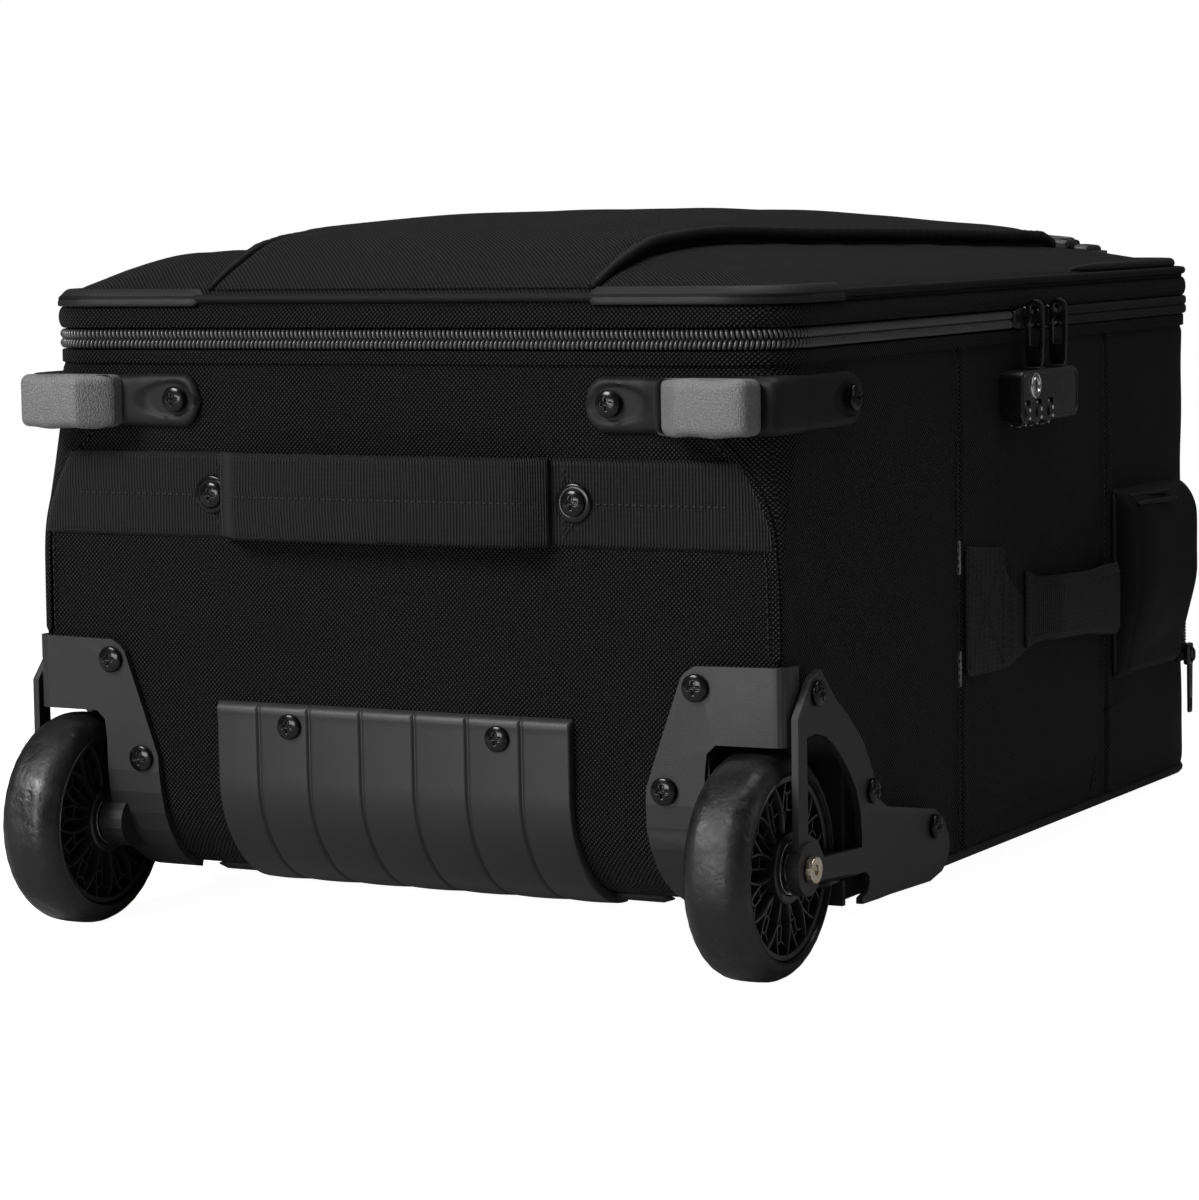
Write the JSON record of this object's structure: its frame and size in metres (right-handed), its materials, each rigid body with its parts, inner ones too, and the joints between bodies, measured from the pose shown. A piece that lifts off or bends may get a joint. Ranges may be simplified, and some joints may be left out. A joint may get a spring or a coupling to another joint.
{
  "type": "rolling laptop case",
  "caption": "Soft-sided rolling laptop case with a hinged zip lid, in-line wheels in moulded corners, telescopic handle, combination lock and grab handles.",
  "frame": {"origin": "middle of the flat back panel, on its outer face; the case lies on this panel with the lid up", "axes": "+Z from the back panel to the lid, +Y along the length from the wheel end to the trolley handle end, +X across the width to the side with the combination lock"},
  "size_m": [0.3933, 0.562, 0.3106],
  "materials": {
    "ballistic_nylon": "black ballistic nylon, matte coarse weave",
    "webbing": "black ribbed nylon webbing",
    "charcoal_plastic": "charcoal moulded nylon, satin",
    "grey_pad": "light grey textured pad",
    "black_plastic": "black moulded plastic, satin to gloss",
    "coil": "black coil zip",
    "black_screw": "black plated pan head screws",
    "tyre_rubber": "black rubber tread",
    "nickel": "nickel plated steel",
    "anodised_tube": "anodised tube",
    "bearing_steel": "bearing steel",
    "plated_steel": "plated steel",
    "liner_grey": "grey padded lining",
    "board": "stiff polyethylene board",
    "fibre_rod": "glass fibre rod"
  },
  "bodies": {
    "case": {"body_shell": "ballistic_nylon", "side_pocket": "ballistic_nylon", "bottom_strap": "webbing", "side_handle_anchor": "webbing", "wheel_housing_right": "charcoal_plastic", "wheel_housing_left": "charcoal_plastic", "side_guard_right": "charcoal_plastic", "side_guard_left": "charcoal_plastic", "bumper_plate": "charcoal_plastic", "foot_right": "charcoal_plastic", "foot_left": "charcoal_plastic", "trolley_bezel": "charcoal_plastic", "foot_pad_right": "grey_pad", "foot_pad_left": "grey_pad", "lock_housing": "black_plastic", "zipper_chain_lower": "coil", "strap_screws": "black_screw", "bumper_screws": "black_screw", "foot_screws_right": "black_screw", "foot_screws_left": "black_screw", "housing_screws_right": "black_screw", "housing_screws_left": "black_screw", "axle_bolt_right": "nickel", "axle_bolt_left": "nickel", "trolley_sleeve_left": "plated_steel", "trolley_sleeve_right": "plated_steel", "padded_divider": "liner_grey", "back_board": "board", "rim_rod": "fibre_rod"},
    "lid": {"lid_shell": "ballistic_nylon", "lid_pocket_panel": "ballistic_nylon", "zipper_chain_upper": "coil", "laptop_sleeve": "liner_grey", "lid_strap_buckle": "black_plastic"},
    "wheel_right": {"tyre_right": "tyre_rubber", "wheel_hub_right": "black_plastic", "bearing_right_inner": "bearing_steel", "bearing_right_outer": "bearing_steel"},
    "wheel_left": {"tyre_left": "tyre_rubber", "wheel_hub_left": "black_plastic", "bearing_left_inner": "bearing_steel", "bearing_left_outer": "bearing_steel"},
    "slider_front": {"main_slider_front": "black_plastic"},
    "pull_front": {"main_pull_front": "black_plastic"},
    "slider_rear": {"main_slider_rear": "black_plastic"},
    "pull_rear": {"main_pull_rear": "black_plastic"},
    "pocket_zip": {"pocket_slider": "black_plastic"},
    "dial_1": {"lock_dial_1": "black_plastic"},
    "dial_2": {"lock_dial_2": "black_plastic"},
    "dial_3": {"lock_dial_3": "black_plastic"},
    "key_cylinder": {"lock_key_cylinder": "nickel"},
    "stage_1": {"trolley_stage_1": "anodised_tube"},
    "stage_2": {"trolley_stage_2_left": "anodised_tube", "trolley_stage_2_right": "anodised_tube", "trolley_grip": "black_plastic"},
    "button": {"release_button": "charcoal_plastic", "release_linkage": "plated_steel"},
    "grab_bottom": {"bottom_handle": "webbing"},
    "grab_side": {"side_handle_grip": "webbing"},
    "grab_top": {"top_handle": "webbing"}
  },
  "joints": [
    {"name": "handle_stage_1", "type": "slide", "parent": "case", "child": "stage_1", "axis": [0, 1, 0], "range_m": [0, 0.24]},
    {"name": "handle_stage_2", "type": "slide", "parent": "stage_1", "child": "stage_2", "axis": [0, 1, 0], "range_m": [0, 0.26]},
    {"name": "handle_release_press", "type": "slide", "parent": "stage_2", "child": "button", "axis": [0, -1, 0], "range_m": [0, 0.0025], "stiffness_N_per_m": 900},
    {"name": "lid_open", "type": "hinge", "parent": "case", "child": "lid", "pos_m": [-0.183, 0, 0.2408], "axis": [0, -1, 0], "range_deg": [0, 110]},
    {"name": "wheel_right_spin", "type": "hinge", "parent": "case", "child": "wheel_right", "pos_m": [0.168, -0.249, 0.0229], "axis": [1, 0, 0], "continuous": true},
    {"name": "wheel_left_spin", "type": "hinge", "parent": "case", "child": "wheel_left", "pos_m": [-0.168, -0.249, 0.0229], "axis": [1, 0, 0], "continuous": true},
    {"name": "zip_front_travel", "type": "slide", "parent": "case", "child": "slider_front", "axis": [0, -1, 0], "range_m": [0, 0.175]},
    {"name": "zip_rear_travel", "type": "slide", "parent": "case", "child": "slider_rear", "axis": [0, 1, 0], "range_m": [0, 0.155]},
    {"name": "zip_pull_front_swing", "type": "hinge", "parent": "slider_front", "child": "pull_front", "pos_m": [0.1896, 0, 0.2415], "axis": [0, -1, 0], "range_deg": [0, 100]},
    {"name": "zip_pull_rear_swing", "type": "hinge", "parent": "slider_rear", "child": "pull_rear", "pos_m": [0.1896, 0.0285, 0.2415], "axis": [0, -1, 0], "range_deg": [0, 100]},
    {"name": "zip_pocket_travel", "type": "slide", "parent": "case", "child": "pocket_zip", "axis": [0, 0, 1], "range_m": [0, 0.075]},
    {"name": "lock_dial_1_turn", "type": "hinge", "parent": "case", "child": "dial_1", "pos_m": [0.1895, -0.02, 0.1945], "axis": [0, 1, 0], "continuous": true},
    {"name": "lock_dial_2_turn", "type": "hinge", "parent": "case", "child": "dial_2", "pos_m": [0.1895, -0.006, 0.1945], "axis": [0, 1, 0], "continuous": true},
    {"name": "lock_dial_3_turn", "type": "hinge", "parent": "case", "child": "dial_3", "pos_m": [0.1895, 0.008, 0.1945], "axis": [0, 1, 0], "continuous": true},
    {"name": "lock_key_turn", "type": "hinge", "parent": "case", "child": "key_cylinder", "pos_m": [0.1864, -0.0101, 0.2072], "axis": [1, 0, 0], "range_deg": [0, 90]},
    {"name": "grab_bottom_lift", "type": "slide", "parent": "case", "child": "grab_bottom", "axis": [0, -1, 0], "range_m": [0, 0.016], "stiffness_N_per_m": 40},
    {"name": "grab_side_lift", "type": "slide", "parent": "case", "child": "grab_side", "axis": [1, 0, 0], "range_m": [0, 0.018], "stiffness_N_per_m": 40},
    {"name": "grab_top_lift", "type": "slide", "parent": "case", "child": "grab_top", "axis": [0, 1, 0], "range_m": [0, 0.02], "stiffness_N_per_m": 40}
  ]
}
